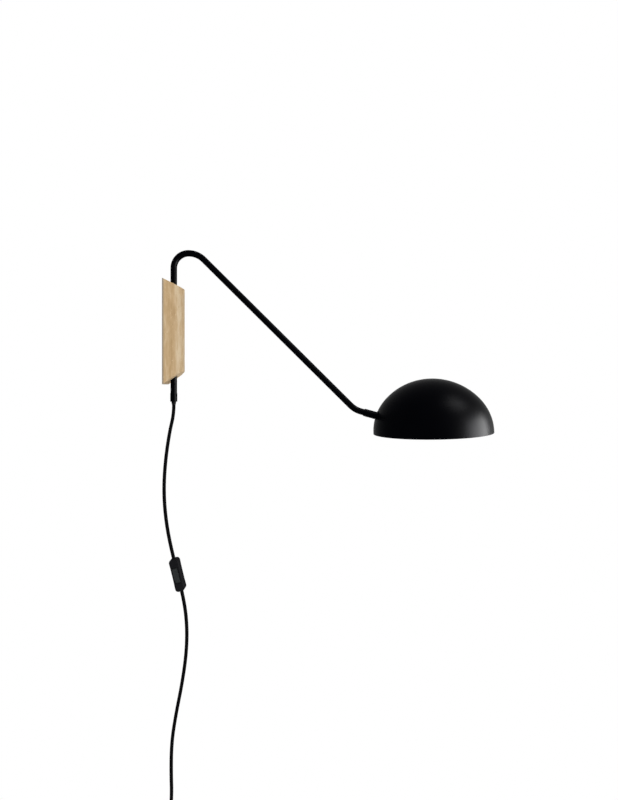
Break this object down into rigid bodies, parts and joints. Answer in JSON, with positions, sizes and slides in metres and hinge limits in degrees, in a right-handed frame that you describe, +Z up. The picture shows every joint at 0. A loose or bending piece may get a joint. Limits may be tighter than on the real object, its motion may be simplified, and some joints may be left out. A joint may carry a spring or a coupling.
{
  "type": "swing-arm wall lamp",
  "caption": "Plug-in wall lamp with a D-section wooden bracket, a swinging bent tube arm, a dome shade and a textile cord with an in-line rocker switch.",
  "frame": {"origin": "on the wall, in the middle of the bracket's back face and of its two wall screws", "axes": "+X out of the wall along the arm at rest, +Z up"},
  "size_m": [0.6162, 0.22, 1.264],
  "materials": {
    "oak": "oiled",
    "zinc_steel": "zinc plated",
    "black_paint": "satin black",
    "nylon_white": "plain",
    "black_rubber": "matt",
    "black_plastic": "fine matt",
    "rocker_plastic": "satin",
    "black_textile": "braided",
    "lead_pvc": "plain",
    "brass": "plain",
    "nickel": "nickel plated",
    "ceramic": "glazed ceramic",
    "core_insulation": "plain"
  },
  "bodies": {
    "bracket": {"bracket_block": "oak", "wall_plate": "zinc_steel", "hanger_plate": "zinc_steel", "hanger_screws": "zinc_steel", "upper_bush": "nylon_white", "lower_bush": "nylon_white", "thrust_washer": "nylon_white", "cord_upper": "black_textile", "cord_lower": "black_textile", "cord_coil": "black_textile", "coil_tie": "black_rubber", "cord_tail": "black_textile", "plug_body": "black_plastic", "plug_pins": "nickel", "switch_front_shell": "black_plastic", "switch_back_shell": "black_plastic", "switch_contacts": "brass", "switch_leads": "core_insulation", "switch_screws": "zinc_steel"},
    "arm": {"arm_tube": "black_paint", "stop_collar": "zinc_steel", "stop_collar_screw": "zinc_steel", "end_ferrule": "black_paint", "cord_grip": "black_rubber", "inner_lead": "lead_pvc", "shade_collar": "black_paint", "shade_collar_screw": "zinc_steel", "nipple": "zinc_steel", "swivel_washer": "zinc_steel", "lock_nut": "zinc_steel", "lampholder_cap": "black_plastic", "lampholder_sleeve": "black_plastic", "lampholder_insulator": "ceramic", "screw_shell": "nickel", "centre_contact": "brass", "lampholder_terminals": "brass", "lead_cores": "core_insulation"},
    "shade": {"shade": "black_paint"},
    "rocker": {"switch_rocker": "rocker_plastic"}
  },
  "joints": [
    {"name": "arm_swing", "type": "hinge", "parent": "bracket", "child": "arm", "pos_m": [0.016, 0, 0], "axis": [0, 0, 1], "range_deg": [-75, 75]},
    {"name": "shade_turn", "type": "hinge", "parent": "arm", "child": "shade", "pos_m": [0.40074, 0, -0.15851], "axis": [0.9636, 0, -0.2672], "range_deg": [-45, 45]},
    {"name": "rocker_tilt", "type": "hinge", "parent": "bracket", "child": "rocker", "pos_m": [0.0291, -0.0243, -0.4515], "axis": [0.9716, 0, 0.2367], "range_deg": [-16, 0]}
  ]
}
